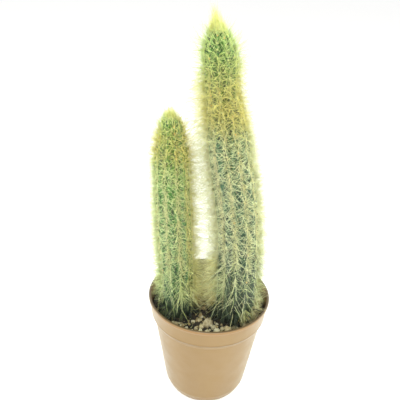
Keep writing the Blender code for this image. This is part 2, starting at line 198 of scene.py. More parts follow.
class Coat(Graph):
    # a material whose colour is laid on in layers
    def __init__(self, name, **sockets):
        self.material = bpy.data.materials.new(name)
        self.material.use_nodes = True
        super().__init__(self.material.node_tree)
        self.shader = self.tree.nodes["Principled BSDF"]
        self.places = {}
        for key, value in sockets.items():
            self.shader.inputs[spaced(key)].default_value = value

    def place(self, stretch=(1, 1, 1)):
        if stretch not in self.places:
            place = self.add("ShaderNodeTexCoord", {}, "Object")
            self.places[stretch] = self.add("ShaderNodeMapping", {"Vector": place, "Scale": stretch})
        return self.places[stretch]

    def fact(self, label):
        return self.add("ShaderNodeAttribute", {}, "Fac", attribute_name=label)

    def grain(self, scale, detail=2.0, roughness=0.5, stretch=(1, 1, 1)):
        inputs = {"Vector": self.place(stretch), "Scale": scale, "Detail": detail, "Roughness": roughness}
        return self.add("ShaderNodeTexNoise", inputs)

    def ramp(self, value, first, *others):
        self.colour = self.add("ShaderNodeValToRGB", {0: value})
        elements = self.colour.socket.node.color_ramp.elements
        elements[0].position, elements[0].color = first
        elements[1].position, elements[1].color = others[-1]
        for position, colour in others[:-1]:
            elements.new(position).color = colour

    def lay(self, share, colour, kind="MIX"):
        inputs = {0: share, 6: self.colour, 7: colour}
        self.colour = self.add("ShaderNodeMix", inputs, 2, data_type="RGBA", blend_type=kind)

    def send(self, output, label):
        self.tree.links.new(output.socket, self.shader.inputs[label])

    def bump(self, height, distance, strength=1.0):
        inputs = {"Strength": strength, "Distance": distance, "Height": height}
        self.send(self.add("ShaderNodeBump", inputs), "Normal")

    def finish(self):
        self.send(self.colour, "Base Color")
        return self.material


def paint(red, green, blue):
    # a colour as seen on a screen, 0 to 255, to the linear one that shaders take
    shares = [value / 255 for value in (red, green, blue)]
    return (*[s / 12.92 if s <= 0.04045 else ((s + 0.055) / 1.055) ** 2.4 for s in shares], 1.0)


# Objects and meshes

def addObject(name, data):
    obj = bpy.data.objects.new(name, data)
    bpy.context.scene.collection.objects.link(obj)
    return obj


def bakeModifiers(obj):
    graph = bpy.context.evaluated_depsgraph_get()
    mesh = bpy.data.meshes.new_from_object(obj.evaluated_get(graph))
    obj.modifiers.clear()
    obj.data = mesh
    mesh.name = obj.name
    return obj


def grow(name, mesh, tree, **values):
    # runs a tree on a mesh and keeps the plain result as a new object
    obj = addObject(name, mesh)
    modifier = obj.modifiers.new(tree.name, "NODES")
    modifier.node_group = tree
    sockets = {socket.name: socket.identifier for socket in tree.interface.items_tree if socket.in_out == "INPUT"}
    for key, value in values.items():
        modifier[sockets[spaced(key)]] = value
    return bakeModifiers(obj)


def fitPiece(obj, slotName, *nodes):
    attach(obj, bodyName)
    if nodes:
        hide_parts(*nodes)


def addFacts(mesh, facts):
    # a number or a vector for each point, by name, as the trees and the materials read them
    for label, values in facts.items():
        values = np.array(values, dtype=np.float32)
        kind, key = ("FLOAT_VECTOR", "vector") if values.ndim == 2 else ("FLOAT", "value")
        mesh.attributes.new(label, kind, "POINT").data.foreach_set(key, values.ravel())
    return mesh


def pointMesh(name, places, **facts):
    mesh = bpy.data.meshes.new(name)
    mesh.from_pydata([tuple(place) for place in places], [], [])
    return addFacts(mesh, facts)


def editMesh(mesh, change, name=None):
    # runs a change on a mesh, in place, or on a copy if a name is given
    work = bmesh.new()
    work.from_mesh(mesh)
    change(work)
    result = bpy.data.meshes.new(name) if name else mesh
    work.to_mesh(result)
    work.free()
    return result


def pointOutwards(mesh):
    def change(work):
        bmesh.ops.recalc_face_normals(work, faces=work.faces)
        if work.calc_volume(signed=True) < 0:
            bmesh.ops.reverse_faces(work, faces=work.faces)

    editMesh(mesh, change)


def keepFaces(name, mesh, wanted):
    def change(work):
        bmesh.ops.delete(work, geom=[face for face in work.faces if not wanted(face)], context="FACES")

    return editMesh(mesh, change, name)


def rounded(points, radius, steps=4):
    # cuts each inner corner of an outline into a short smooth bend
    outline = [points[0]]
    for before, corner, after in zip(points, points[1:], points[2:]):
        before, corner, after = Vector(before), Vector(corner), Vector(after)
        reach = min(radius, (before - corner).length * 0.45, (after - corner).length * 0.45)
        start = corner + (before - corner).normalized() * reach
        stop = corner + (after - corner).normalized() * reach
        for step in range(steps + 1):
            t = step / steps
            outline.append(tuple(start * (1 - t) ** 2 + corner * 2 * t * (1 - t) + stop * t**2))
    outline.append(points[-1])
    return outline


def turned(name, outline, steps):
    # an outline of (radius, height) spun round the pot's axis
    mesh = bpy.data.meshes.new(name)
    edges = [(at, at + 1) for at in range(len(outline) - 1)]
    mesh.from_pydata([(radius, 0, height) for radius, height in outline], edges, [])
    obj = addObject(name, mesh)
    screw = obj.modifiers.new("turned", "SCREW")
    screw.steps = screw.render_steps = steps
    screw.use_merge_vertices = True
    screw.merge_threshold = 0.01 * mm
    return bakeModifiers(obj)


# Camera and studio

camera = {
    "lookAt": (-11.22 * mm, 0, 187.2 * mm),
    "pitch": 27.42,
    "distance": 413.2 * mm,
    "roll": 2.37,
    "lens": 46.8,
    "sensor": 36,
    "clip": (0.01, 50),
}

studio = {
    "floorSize": 9.0,
    "floorColour": paint(251, 251, 251),
    "skyColour": (1.0, 1.0, 0.99, 1.0),
    "skyStrength": 1.0,
    "aim": (0, 0, 0.16),
    "lights": (
        # name, place, size, power, colour
        ("softboxAbove", (-0.25, -0.35, 1.35), 0.9, 8.0, (1.0, 0.99, 0.96)),
        ("softboxFront", (0.1, -1.0, 0.7), 0.8, 11.0, (1.0, 0.99, 0.97)),
        ("sideLeft", (-1.0, 0.3, 0.4), 0.7, 8.5, (0.88, 1.04, 0.88)),
        ("sideRight", (1.0, 0.3, 0.4), 0.7, 10.0, (0.88, 1.04, 0.88)),
    ),
}


def placeCamera():
    pitch = math.radians(camera["pitch"])
    forward = Vector((0, math.cos(pitch), -math.sin(pitch)))
    upward = Vector((0, math.sin(pitch), math.cos(pitch)))
    turn = Matrix((Vector((1, 0, 0)), upward, -forward)).transposed().to_4x4()
    data = bpy.data.cameras.new("photoCamera")
    data.sensor_width, data.lens = camera["sensor"], camera["lens"]
    data.clip_start, data.clip_end = camera["clip"]
    obj = addObject("photoCamera", data)
    place = Matrix.Translation(Vector(camera["lookAt"]) - forward * camera["distance"])
    obj.matrix_world = place @ turn @ Matrix.Rotation(math.radians(camera["roll"]), 4, "Z")
    bpy.context.scene.camera = obj


def makeStudio():
    scene = bpy.context.scene
    scene.view_settings.view_transform = "Standard"
    scene.view_settings.look = "None"
    scene.world = bpy.data.worlds.new("whiteStudio")
    scene.world.use_nodes = True
    sky = scene.world.node_tree.nodes["Background"].inputs
    sky["Color"].default_value = studio["skyColour"]
    sky["Strength"].default_value = studio["skyStrength"]
    for name, place, size, power, colour in studio["lights"]:
        light = bpy.data.lights.new(name, "AREA")
        light.size, light.energy, light.color = size, power, colour
        obj = addObject(name, light)
        obj.location = place
        obj.rotation_euler = (Vector(studio["aim"]) - Vector(place)).to_track_quat("-Z", "Y").to_euler()
    half = studio["floorSize"] / 2
    mesh = bpy.data.meshes.new("studioFloor")
    mesh.from_pydata([(-half, -half, 0), (half, -half, 0), (half, half, 0), (-half, half, 0)], [], [(0, 1, 2, 3)])
    mesh.materials.append(Coat("paleFloor", roughness=0.85, baseColor=studio["floorColour"]).material)
    addObject("studioFloor", mesh)


# Pot

pot = {
    "lipHeight": 2.6 * mm,
    "lipWidth": 2.2 * mm,
    "bandHeight": 18 * mm,
    "bandRadiusBelow": rimRadius - 2.5 * mm,
    "wallRadiusTop": rimRadius - 4.9 * mm,
    "wallRadiusLow": rimRadius - 15.9 * mm,
    "chamferHeight": 8 * mm,
    "footRadius": rimRadius - 19.5 * mm,
    "footWidth": 7 * mm,
    "recess": 1.2 * mm,
    "wall": 1.5 * mm,
    "floor": 1.8 * mm,
    "steps": 180,
    "drainCount": 6,
    "drainRadius": 3.4 * mm,
    "drainCircle": 20 * mm,
    "sharpAngle": 40,
    "plastic": paint(121, 92, 39),
    "plasticPale": paint(126, 97, 44),
    "plasticDark": paint(116, 87, 34),
    # painted shade on the lip's flat top
    "lipTop": paint(84, 66, 38),
    "underLip": paint(134, 94, 44),
    "ledge": potHeight - 17.5 * mm,
    "ledgeShade": paint(104, 74, 18),
    # painted shade on the inner wall just under the lip
    "inside": paint(100, 72, 40),
    "dirt": paint(62, 46, 30),
}


def innerWall():
    # the inside of the pot, from the lip down to the corner of its floor, as (radius, height)
    ledge = potHeight - pot["bandHeight"]
    return [
        (rimRadius - pot["lipWidth"], potHeight - 1.0 * mm),
        (pot["bandRadiusBelow"] - pot["wall"], ledge + 1.2 * mm),
        (pot["wallRadiusTop"] - pot["wall"], ledge - 1.4 * mm),
        (pot["wallRadiusLow"] - pot["wall"], pot["chamferHeight"]),
        (pot["footRadius"] - pot["wall"], pot["recess"] + pot["floor"]),
    ]


def makeDrainTree():
    g = Growth("drainHoles", "circle holeRadius depth", "holes", "plastic")
    given = g.given
    ring = g.geo("MeshCircle", vertices=given.holes, radius=given.circle)
    ring = g.geo("Transform", geometry=ring, rotation=g.join(z=g.maths("DIVIDE", math.pi, given.holes)))
    drill = g.geo("MeshCylinder", vertices=40, radius=given.holeRadius, depth=given.depth)
    inputs = {"Mesh 1": given.geometry, "Mesh 2": g.copies(ring, drill)}
    cut = g.add("GeometryNodeMeshBoolean", inputs, operation="DIFFERENCE", solver="EXACT")
    return g.finish(cut, given.plastic)


def makePlastic():
    # satin moulded plastic: faint flow marks, fine pitting, pale scuffs, soil dust inside above the mix, and painted
    # shade on the lip's top, by the ledge and on the inner wall under the lip
    coat = Coat("terracottaPlastic", roughness=0.42, coatWeight=0.4, coatRoughness=0.3)
    flow = coat.grain(24, 2, stretch=(1, 1, 0.25))
    coat.ramp(flow, (0.2, pot["plasticDark"]), (0.5, pot["plastic"]), (0.8, pot["plasticPale"]))
    coat.lay(coat.grain(420, 4, 0.7).spread(0.6, 0.78) * 0.25, pot["plasticPale"])
    x, y, z = coat.split(coat.place())
    facing = coat.add("ShaderNodeNewGeometry", {}, "True Normal")
    inside = facing.then("DOT_PRODUCT", coat.join(x=x, y=y)).then("LESS_THAN", 0.0)
    nearLedge = (z - pot["ledge"]).then("ABSOLUTE").spread(2.0 * mm, 1.0 * mm, 0.0, 0.75)
    dust = z.spread(soilLevel + 7 * mm, soilLevel + 0.5 * mm) * inside
    coat.lay(z.spread(potHeight - 5.5 * mm, potHeight - 2.0 * mm, 0.0, 0.4), pot["underLip"])
    coat.lay(nearLedge, pot["ledgeShade"])
    # painted shade over the lip's flat top
    coat.lay(z.spread(potHeight - 0.4 * mm, potHeight - 0.1 * mm), pot["lipTop"])
    # painted shade on the inner wall under the lip
    coat.lay(inside * z.spread(potHeight - 0.4 * mm, potHeight - 2.5 * mm, 0.0, 0.6), pot["inside"])
    coat.lay(dust * coat.grain(260, 4).spread(0.35, 0.6), pot["dirt"])
    coat.send(coat.grain(90, 3).spread(0.3, 0.7, 0.34, 0.5), "Roughness")
    coat.bump(coat.grain(900, 3, 0.6), 0.06 * mm, 0.6)
    return coat.finish()


def makePot():
    ledge, below = potHeight - pot["bandHeight"], pot["bandRadiusBelow"]
    top, low, foot = pot["wallRadiusTop"], pot["wallRadiusLow"], pot["footRadius"]
    footInside = foot - pot["footWidth"]
    outer = [
        (rimRadius - pot["lipWidth"], potHeight - 1.0 * mm),
        (rimRadius - pot["lipWidth"] + 0.15 * mm, potHeight),
        (rimRadius - 0.1 * mm, potHeight),
        (rimRadius, potHeight - 1.4 * mm),
        (rimRadius - 0.15 * mm, potHeight - pot["lipHeight"]),
        (rimRadius - 0.9 * mm, potHeight - pot["lipHeight"] - 0.6 * mm),
        (below + 0.03 * mm, ledge + 2.6 * mm),
        (below + 0.05 * mm, ledge + 1.8 * mm),  # the band ends in a fine raised bead
        (below - 0.1 * mm, ledge + 1.0 * mm),
        (top + 0.9 * mm, ledge - 0.9 * mm),
        (top + 0.1 * mm, ledge - 2.4 * mm),
        (top - 0.5 * mm, ledge - 4.3 * mm),
        (top - 0.5 * mm, ledge - 4.8 * mm),  # and a second one runs under it
        (top - 0.62 * mm, ledge - 5.4 * mm),
        (low, pot["chamferHeight"]),
        (foot + 1.4 * mm, 2.6 * mm),
        (foot, 0),
        (footInside, 0),
        (footInside - 1.0 * mm, pot["recess"]),
        (0, pot["recess"]),
    ]
    inside = [(0, pot["recess"] + pot["floor"]), *reversed(innerWall())]
    shell = turned("potShell", [*rounded(outer, 1.2 * mm), *rounded(inside, 1.5 * mm)], pot["steps"])
    pointOutwards(shell.data)
    finished = grow("moulded_pot", shell.data, makeDrainTree(), holes=pot["drainCount"], circle=pot["drainCircle"],
                    holeRadius=pot["drainRadius"], depth=6 * pot["floor"], plastic=makePlastic())
    bpy.data.objects.remove(shell)
    finished.data.shade_smooth()
    finished.data.set_sharp_from_angle(angle=math.radians(pot["sharpAngle"]))
    fitPiece(finished, "pot_plastic", "pot")


# Stems: each outline runs from the soil to the apex as (height, x of the centre, radius over the ribs), in mm.
# A place is how far up the stem's side a point lies, from 0, the soil, to 1, the apex.

tall = {
    "name": "tall",
    "ribs": 11,
    "ribDepth": 3.0 * mm,
    "rings": 190,
    "spine": 8.5 * mm,
    "seed": 11,
    "outline": (
        (86.5, 22.3, 15.2),
        (100, 22.1, 16.6),
        (150, 21.0, 16.6),
        (195, 16.1, 16.5),
        (230, 9.5, 15.9),
        (244, 7.2, 15.0),
        (258, 4.6, 13.6),
        (284, 0.3, 11.9),
        (297, -0.6, 12.0),
        (308, -2.3, 10.7),
        (317, -3.2, 7.3),
        (322, -4.2, 0.0),
    ),
    # the skin's colour by place: dark green, darkened further as painted shade among the spines, and near black by the
    # soil, which is painted shade
    "skin": ((0.0, paint(12, 22, 18)), (0.07, paint(10, 22, 16)), (0.2, paint(20, 46, 34)),
             (0.42, paint(40, 80, 62)), (0.66, paint(52, 90, 56)), (0.74, paint(94, 98, 28)),
             (0.83, paint(80, 106, 28)), (0.92, paint(56, 110, 28)), (1.0, paint(84, 132, 30))),
    "tuftFocus": (-5.0 * mm, 22 * mm),  # where the tuft's spines point, from the apex
    "tuftLength": 22 * mm,
    "tuftRoots": (70, 0.97),  # how many, and the lowest place of one
    # places, and how golden the spines are there
    "golden": ((0.3, 0.5, 0.67, 0.71, 0.76, 0.83, 0.9, 0.94), (0.1, 0.1, 0.15, 0.85, 1.0, 0.8, 0.2, 0.0)),
    "goldenInside": -0.25,  # more or less gold on the side towards the other stem
    "goldenSides": 0.0,  # and how much less of it at the front and the back
    "inward": -1,  # which way along x the other stem stands
    "fringe": (0.06, 0.78),  # its lowest and highest place
    "oldest": 0.82,  # the age of the long spines that hang low on the ribs
    "drySide": 1.0,  # how brown the skirt round its foot is on the side away from the other stem
    "crossFrom": 0.06,  # the lowest place of the spines that cross over the ribs
    "oldEvery": 4,  # one burst in so many has hanging spines
    # places, and what share of the fine layers grows there
    "cover": ((0.0, 0.05, 0.11, 0.2, 0.3, 0.8, 0.9, 1.0), (0.0, 0.02, 0.06, 0.3, 0.95, 1.0, 0.55, 0.5)),
    "fresh": 0.0,  # how far the spines take the green of fresh growth
}

short = {
    "name": "short",
    "ribs": 10,
    "ribDepth": 2.5 * mm,
    "rings": 150,
    "spine": 7.6 * mm,
    "seed": 23,
    "outline": (
        (86.5, -26.2, 11.6),
        (100, -26.4, 12.6),
        (140, -28.7, 13.4),
        (170, -30.9, 13.8),
        (203, -32.3, 13.1),
        (228, -33.2, 12.4),
        (243, -33.4, 9.9),
        (252, -33.8, 8.0),
        (257.5, -34.2, 5.8),
        (260.5, -34.6, 0.0),
    ),
    # the skin's colour by place: dark green, darkened further as painted shade among the spines, and near black by the
    # soil, which is painted shade
    "skin": ((0.0, paint(14, 26, 20)), (0.07, paint(20, 40, 26)), (0.2, paint(38, 86, 34)),
             (0.45, paint(50, 106, 48)), (0.7, paint(70, 122, 42)), (0.84, paint(92, 116, 30)),
             (0.94, paint(70, 120, 26)), (1.0, paint(100, 146, 30))),
    "tuftFocus": (-4.0 * mm, 60 * mm),
    "tuftLength": 12.5 * mm,
    "tuftRoots": (40, 0.972),
    "golden": ((0.5, 0.77, 0.82, 0.89, 0.94), (0.05, 0.05, 1.0, 0.95, 0.2)),
    "goldenInside": 0.7,
    "goldenSides": 0.4,
    "inward": 1,
    "fringe": (0.06, 0.93),
    "oldest": 0.9,
    "drySide": 0.0,
    "crossFrom": 0.12,
    "oldEvery": 8,
    "cover": ((0.0, 0.08, 0.14, 0.22, 0.32, 0.6, 0.7, 0.78, 0.9, 1.0),
              (0.0, 0.01, 0.08, 0.7, 1.0, 1.0, 0.8, 1.0, 0.55, 0.5)),
    "fresh": 0.45,
}

ribbing = {
    "pointsPerRib": 12,
    "runIn": 12 * mm,  # the ribs rise to their full depth over this height above the soil
    "fullRadius": 9 * mm,  # and sink again where the stem is thinner than this
    "swelling": 0.55 * mm,  # how far the crest dips between two areoles
    "half": 4.2 * mm,  # half of a rib's width
    "areolePitch": 6.6 * mm,
    "burstPitch": 2.2 * mm,
    "topRow": 0.985,  # the place above which no areole lies
    "bareFoot": 2.5 * mm,  # nor does one lie this near the soil
    "closer": (0.86, 0.75),  # from this place up, the rows are this share of their pitch apart
    "tipLean": (0.8, 1.5),  # from this place up, the spines lean towards the tip, by this much at the apex
    "stumpDepth": 26 * mm,  # the plain round foot goes down this far into the mix
    "stumpRise": 2 * mm,
    "curveSteps": 24,
}

# painted shade in the hollows between the warts of the skin
skinHollowShade = {"perMetre": 560, "upTo": 0.5, "from": 0.58, "shade": paint(60, 84, 52)}


def footX(stem):
    return stem["outline"][0][1] * mm


def stumpRadius(stem):
    return (stem["outline"][0][2] - 1.0) * mm


def sideCurve(stem):
    # the outline as a fine smooth row of (height, x, radius), with how far up the stem's side each lies
    if "curve" not in stem:
        knots = np.array(stem["outline"]) * mm
        knots = np.vstack([2 * knots[0] - knots[1], knots, knots[-2] * (1, 1, -1)])
        curve = []
        for a, b, c, d in zip(knots, knots[1:], knots[2:], knots[3:]):
            for t in np.linspace(0, 1, ribbing["curveSteps"], endpoint=False):
                bend = (2 * a - 5 * b + 4 * c - d) * t**2 + (3 * b - a - 3 * c + d) * t**3
                curve.append(b + ((c - a) * t + bend) / 2)
        curve = np.array([*curve, knots[-2]])
        run = np.concatenate([[0], np.cumsum(np.linalg.norm(np.diff(curve, axis=0), axis=1))])
        stem["curve"] = (curve, run)
    return stem["curve"]


def outlineAt(stem, places):
    # (height, x, radius) at each place
    curve, run = sideCurve(stem)
    return np.stack([np.interp(np.array(places) * run[-1], run, column) for column in curve.T], -1)


def rowsAlong(stem, pitch):
    return round(sideCurve(stem)[1][-1] / pitch)


def makeColumnTree():
    g = Growth("ribbedColumn", "ribDepth fullRadius soilLevel runIn areoleRows swelling", "ribs pointsPerRib", "skin")
    given = g.given
    rings = g.geo("AttributeDomainSize", "Point Count", geometry=given.geometry)
    around = given.ribs * given.pointsPerRib + 1.0
    grid = g.geo("MeshGrid", sizeX=1.0, sizeY=1.0, verticesX=around, verticesY=rings)
    x, y, z = g.split(g.here)
    share = x + 0.5
    ring = ((y + 0.5) * (rings - 1.0)).then("ROUND")

    def alongAxis(value):
        inputs = {"Geometry": given.geometry, "Value": value, "Index": ring}
        kind = "FLOAT_VECTOR" if value.isVector else "FLOAT"
        return g.add("GeometryNodeSampleIndex", inputs, data_type=kind, clamp=True)

    centre, radius, place = alongAxis(g.here), alongAxis(g.named("side")), alongAxis(g.named("place"))
    fade = (g.split(centre)[2] - given.soilLevel).share(given.runIn) * radius.share(given.fullRadius)
    turn = share * math.tau
    phase = share * given.ribs
    furrow = (phase * math.tau).then("COSINE").then("MULTIPLY_ADD", -0.5, 0.5, clamp=True) ** 1.3
    crest = 1.0 - furrow
    # between two areoles the crest dips, and every second rib's areoles sit half a step higher
    rib = phase.then("ROUND").then("MODULO", given.ribs)
    step = place * given.areoleRows - rib.then("MODULO", 2.0) * 0.5
    dip = (step * math.tau).then("COSINE").then("MULTIPLY_ADD", -0.5, 0.5) * crest ** 2.0
    side = radius - (furrow * given.ribDepth + dip * given.swelling) * fade
    outward = g.join(x=turn.then("COSINE"), y=turn.then("SINE"))
    marked = g.store(grid, crest=crest, place=place)
    column = g.geo("SetPosition", geometry=marked, position=centre + outward * side)
    column = g.geo("MergeByDistance", geometry=column, distance=0.002 * mm)
    return g.finish(column, given.skin)


def makeSkin(stem):
    # waxy green skin: mottling, furrows darker than the ribs as painted shade, painted shade in the hollows between the
    # warts, and the fine pale dots of its pores
    coat = Coat(stem["name"] + "Skin", roughness=0.55, coatWeight=0.1, coatRoughness=0.4)
    coat.ramp(coat.fact("place"), *stem["skin"])
    coat.lay(coat.grain(150, 4, 0.6).spread(0.3, 0.7) * 0.2, paint(120, 150, 90))
    # painted shade in the furrows between the ribs
    coat.lay(coat.fact("crest").spread(0.0, 1.0, 0.15, 0.0), paint(24, 40, 22))
    # painted shade in the hollows between the warts
    hollows = coat.grain(skinHollowShade["perMetre"], 2, 0.6, (1, 1, 0.7))
    coat.lay(hollows.spread(skinHollowShade["upTo"], skinHollowShade["from"], 0.0, 0.9), skinHollowShade["shade"], "MULTIPLY")
    coat.lay(coat.grain(2600, 1).spread(0.62, 0.7) * 0.2, paint(190, 205, 160))
    coat.bump(coat.grain(700, 4, 0.6), 0.2 * mm, 0.5)
    return coat.finish()


def makeColumn(stem, tree):
    foot, radius = footX(stem), stumpRadius(stem)
    bottom = soilLevel - ribbing["stumpDepth"]
    neck = soilLevel + ribbing["stumpRise"]
    stump = [(bottom, foot, 0.0), (bottom, foot, radius), (neck - 4 * mm, foot, radius), (neck, foot, radius)]
    places = 1 - np.linspace(1, 0, stem["rings"]) ** 1.15  # closer together towards the apex
    upper = [(place, row) for place, row in zip(places, outlineAt(stem, places)) if row[0] > neck + 0.5 * mm]
    rows = [*stump, *(tuple(row) for place, row in upper)]
    axis = pointMesh(stem["name"] + "Axis", [(x, stemLine, height) for height, x, side in rows],
                     side=[side for height, x, side in rows], place=[0.0] * len(stump) + [p for p, row in upper])
    column = grow(stem["name"] + "_stem_body", axis, tree, ribs=stem["ribs"], pointsPerRib=ribbing["pointsPerRib"],
                  ribDepth=stem["ribDepth"], fullRadius=ribbing["fullRadius"], soilLevel=soilLevel,
                  runIn=ribbing["runIn"], areoleRows=float(rowsAlong(stem, ribbing["areolePitch"])),
                  swelling=ribbing["swelling"], skin=makeSkin(stem))
    pointOutwards(column.data)
    column.data.shade_smooth()
    fitPiece(column, stem["name"] + "_skin", stem["name"] + "_stem")


# Spines. Lengths are shares of the stem's own spine, thickness and the roots' spread are in mm, and the rise is how
# steeply a spine stands up from the skin. The last column is how far its tip takes the tip's colour.

spineFields = ("count", "shortest", "longest", "thickness", "taper", "leastRise", "mostRise", "rootSpread", "droop",
               "bow", "segments", "tipShade")
spineKinds = {
    # the fine layer that lies over the skin, fewer and stouter ones that cross over it, and ones that stand up
    "radial": (5, 0.3, 0.75, 0.38, 0.3, 0.05, 0.4, 3.5, 0.0, 0.08, 1, 0.2),
    "net": (1, 0.5, 1.1, 0.42, 0.4, 0.1, 0.6, 1.4, 0.0, 0.06, 1, 0.0),
    "central": (7, 0.6, 1.4, 0.18, 0.1, 2.0, 7.0, 1.8, 0.0, 0.08, 1, 0.8),
    # long and loose, hanging down the ribs near the soil
    "old": (1, 1.4, 2.6, 0.42, 0.3, 0.25, 0.9, 0.9, 0.05, 0.12, 3, 0.0),
    # a skirt of short ones round the foot, over the soil
    "skirt": (12, 0.5, 1.5, 0.4, 0.3, 0.4, 2.0, 1.4, 0.0, 0.15, 1, 0.0),
    # a thicker fringe on the ribs at the sides and the back
    "fringe": (20, 0.5, 1.4, 0.17, 0.1, 1.8, 6.0, 1.8, 0.0, 0.08, 1, 0.6),
    # hairs across the space between the stems, and the golden thicket low down in it
    "strand": (8, 0.7, 2.5, 0.2, 0.5, 0.7, 2.6, 0.6, 0.1, 0.3, 4, 0.7),
    "haze": (22, 0.9, 1.7, 0.26, 0.2, 0.8, 3.5, 0.9, 0.15, 0.2, 3, 0.2),
    # long fine ones that cross over the ribs
    "cross": (2, 0.8, 1.9, 0.25, 0.4, 0.25, 1.2, 2.4, 0.0, 0.15, 2, 0.0),
    # short ones that draw a pale line down each rib
    "ridge": (4, 0.15, 0.36, 0.4, 0.4, 0.1, 0.8, 0.5, 0.0, 0.05, 1, 0.0),
    # the sheaf on the tip
    "tuft": (8, 0.5, 1.0, 0.24, 0.0, 4.0, 12.0, 0.8, 0.0, 0.03, 1, 0.2),
}
thinnedKinds = ("radial", "net", "central", "ridge")  # these follow the stem's cover
spineLimits = {  # no tip goes below this soil level, nor through the pot's wall, which is wider above the rim
    "soilLevel": soilLevel + 0.6 * mm,
    "wallRadius": rimRadius - 4.6 * mm,
    "rimHeight": potHeight + 1.0 * mm,
    "widerAbove": 5.5 * mm,
}
tuftSeed = 19  # added to ten times the stem's seed, as the other kinds' order is
tuftShorter = 0.7  # the outermost spines of a tuft are this share shorter
# the thicket's colour by its height over the soil; the dark of its lowest spines is partly painted shade
hazeTones = {
    "rust": ((8 * mm, 14 * mm, 20 * mm, 26 * mm), (1.0, 0.9, 0.4, 0.0)),
    "gold": ((12 * mm, 24 * mm), (0.9, 0.55)),
    "age": ((6 * mm, 12 * mm, 24 * mm), (1.25, 1.0, 0.35)),
}
withered = 1.3  # the age of one burst in seven there

areole = {
    "radius": 0.65 * mm,
    "height": 0.45 * mm,
    "lift": 0.05 * mm,
    "from": 0.14,  # the place of the lowest felt
    "felt": paint(192, 202, 116),
    "feltOld": paint(190, 194, 134),
    "feltBrown": paint(214, 172, 76),
    "feltDark": paint(110, 90, 40),
    "brownShare": 0.08,
}

spineColours = {
    "apex": paint(234, 236, 138),
    "young": paint(208, 228, 136),
    "golden": paint(230, 218, 122),
    "grown": paint(238, 242, 192),
    # spines rooted down in a furrow: darker and greener, as painted shade
    "furrow": paint(176, 214, 160),
    "crest": paint(240, 230, 180),
    "aged": paint(176, 192, 122),
    "old": paint(92, 104, 74),
    # near black, for the spines right over the soil: partly dead spines, partly painted shade
    "oldest": paint(38, 50, 38),
    "rust": paint(146, 122, 58),
    "fresh": paint(196, 224, 136),
    "root": paint(240, 242, 200),
    "brown": paint(196, 162, 100),
    "dull": paint(120, 134, 84),
    "tip": paint(200, 206, 152),
}


def makeSpineTree():
    g = Growth("spineBursts", "shortest longest thickness taper leastRise mostRise rootSpread droop bow tipShade "
               "ribHalf soilLevel rimHeight wallRadius widerAbove", "count segments seed", "spine")
    given, least = g.given, 0.01 * mm
    points = g.geo("MeshToPoints", mesh=given.geometry)
    points = g.geo("DuplicateElements", geometry=points, amount=given.count)
    missing = g.draw(0.0, 1.0, 8).then("GREATER_THAN", g.named("keep"))
    points = g.geo("DeleteGeometry", geometry=points, selection=missing)
    out, up = g.named("out", "FLOAT_VECTOR"), g.named("up", "FLOAT_VECTOR")
    angle = g.draw(0.0, math.tau, 1)
    flat = up * angle.then("SINE") + up.then("CROSS_PRODUCT", out) * angle.then("COSINE")
    way = flat + out * g.draw(given.leastRise, given.mostRise, 2)
    way = (way + up * g.named("lean")).then("NORMALIZE")
    length = g.draw(given.shortest, given.longest, 3) * g.named("reach")
    # a tip that would go into the soil or through the pot's wall is drawn back
    x, y, z = g.split(g.here)
    tipX, tipY, tipZ = g.split(g.here + way * length)
    tipHeight = tipZ - length * given.droop
    overSoil = (z - given.soilLevel).share((z - tipHeight).then("MAXIMUM", least))
    rootOut, tipOut = g.join(x=x, y=y).then("LENGTH"), g.join(x=tipX, y=tipY).then("LENGTH")
    overRim = tipHeight.then("GREATER_THAN", given.rimHeight)
    space = overRim.then("MULTIPLY_ADD", given.widerAbove, given.wallRadius) - rootOut
    inWall = space.share((tipOut - rootOut).then("MAXIMUM", least))
    length = length * overSoil.then("MINIMUM", inWall)
    bend = g.draw((-1.0, -1.0, -1.0), (1.0, 1.0, 1.0), 4) * given.bow + g.join(z=given.droop * -1.0)
    # how far across the rib from its crest the root lies, which the material turns into painted shade
    rootReach = given.rootSpread * g.draw(0.2, 1.0, 6)
    fromCrest = angle.then("COSINE").then("ABSOLUTE") * rootReach
    points = g.store(points, len=length, way=way, bend=bend, tint=g.draw(0.0, 1.0, 5),
                     furrow=fromCrest.share(given.ribHalf))
    points = g.geo("SetPosition", geometry=points, offset=flat * rootReach)
    turn = g.pointing(g.named("way", "FLOAT_VECTOR"))
    thick = given.thickness * g.draw(0.75, 1.2, 7)
    spines = g.copies(points, g.needle(given.segments, given.taper * 0.5), rotation=turn,
                      scale=g.join(x=thick, y=thick, z=g.named("len")))
    along = g.named("along")
    bent = g.named("bend", "FLOAT_VECTOR") * (g.named("len") * along ** 2.0)
    spines = g.geo("SetPosition", geometry=spines, offset=bent)
    spines = g.store(spines, shade=along * given.tipShade)
    return g.finish(spines, given.spine, "len", "way", "bend", "out", "up", "lean", "reach", "keep")


def makeFeltTree():
    g = Growth("areoleFelt", "radius height lift", "seed", "felt")
    given, out = g.given, g.named("out", "FLOAT_VECTOR")
    points = g.geo("MeshToPoints", mesh=given.geometry)
    points = g.geo("SetPosition", geometry=points, offset=out * given.lift)
    points = g.store(points, tint=g.draw(0.0, 1.0, 1))
    pad = g.geo("MeshUVSphere", segments=8, rings=5, radius=1.0)
    wide = given.radius * g.draw(0.8, 1.2, 2)
    pads = g.copies(points, pad, rotation=g.pointing(out), scale=g.join(x=wide, y=wide, z=given.height))
    pads = g.geo("SetPosition", geometry=pads, offset=g.lumps(900.0, 1.0, given.height * 0.8))
    pads = g.geo("SetShadeSmooth", geometry=pads)
    return g.finish(pads, given.felt, "out", "up", "lean", "reach", "keep")


